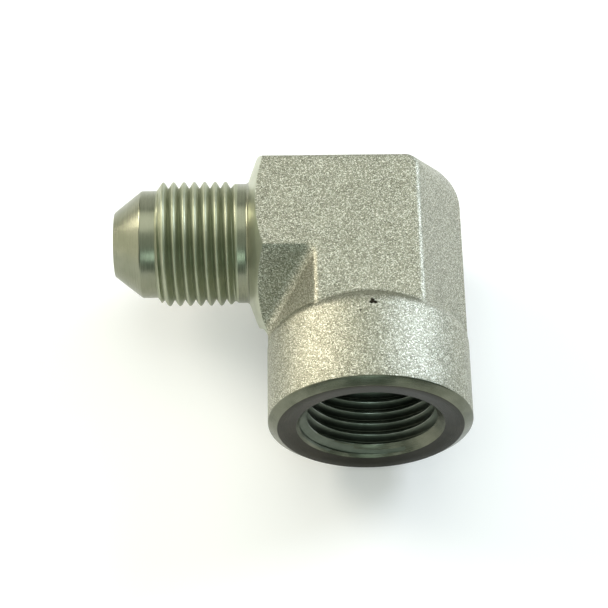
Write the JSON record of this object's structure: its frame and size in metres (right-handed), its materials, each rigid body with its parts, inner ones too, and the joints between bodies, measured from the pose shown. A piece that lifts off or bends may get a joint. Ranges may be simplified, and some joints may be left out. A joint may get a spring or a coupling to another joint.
{
  "type": "hydraulic elbow adapter",
  "caption": "One-piece forged steel elbow that joins a male flared tube thread on one arm to a female parallel pipe port in a round collar on the other, at a right angle.",
  "frame": {"origin": "middle of the female port's mouth face, on the port's axis", "axes": "-Y out of the port along its axis, -X along the male arm towards its nose, +Z out of the front wrench flat. The part lies on its rear side."},
  "size_m": [0.0532, 0.0466, 0.03],
  "materials": {
    "plated_steel": "zinc plate with a greenish yellow passivate, blasted grain on the forged skin and turned on the ends"
  },
  "bodies": {
    "root": {"elbow_body": "plated_steel"}
  },
  "joints": []
}
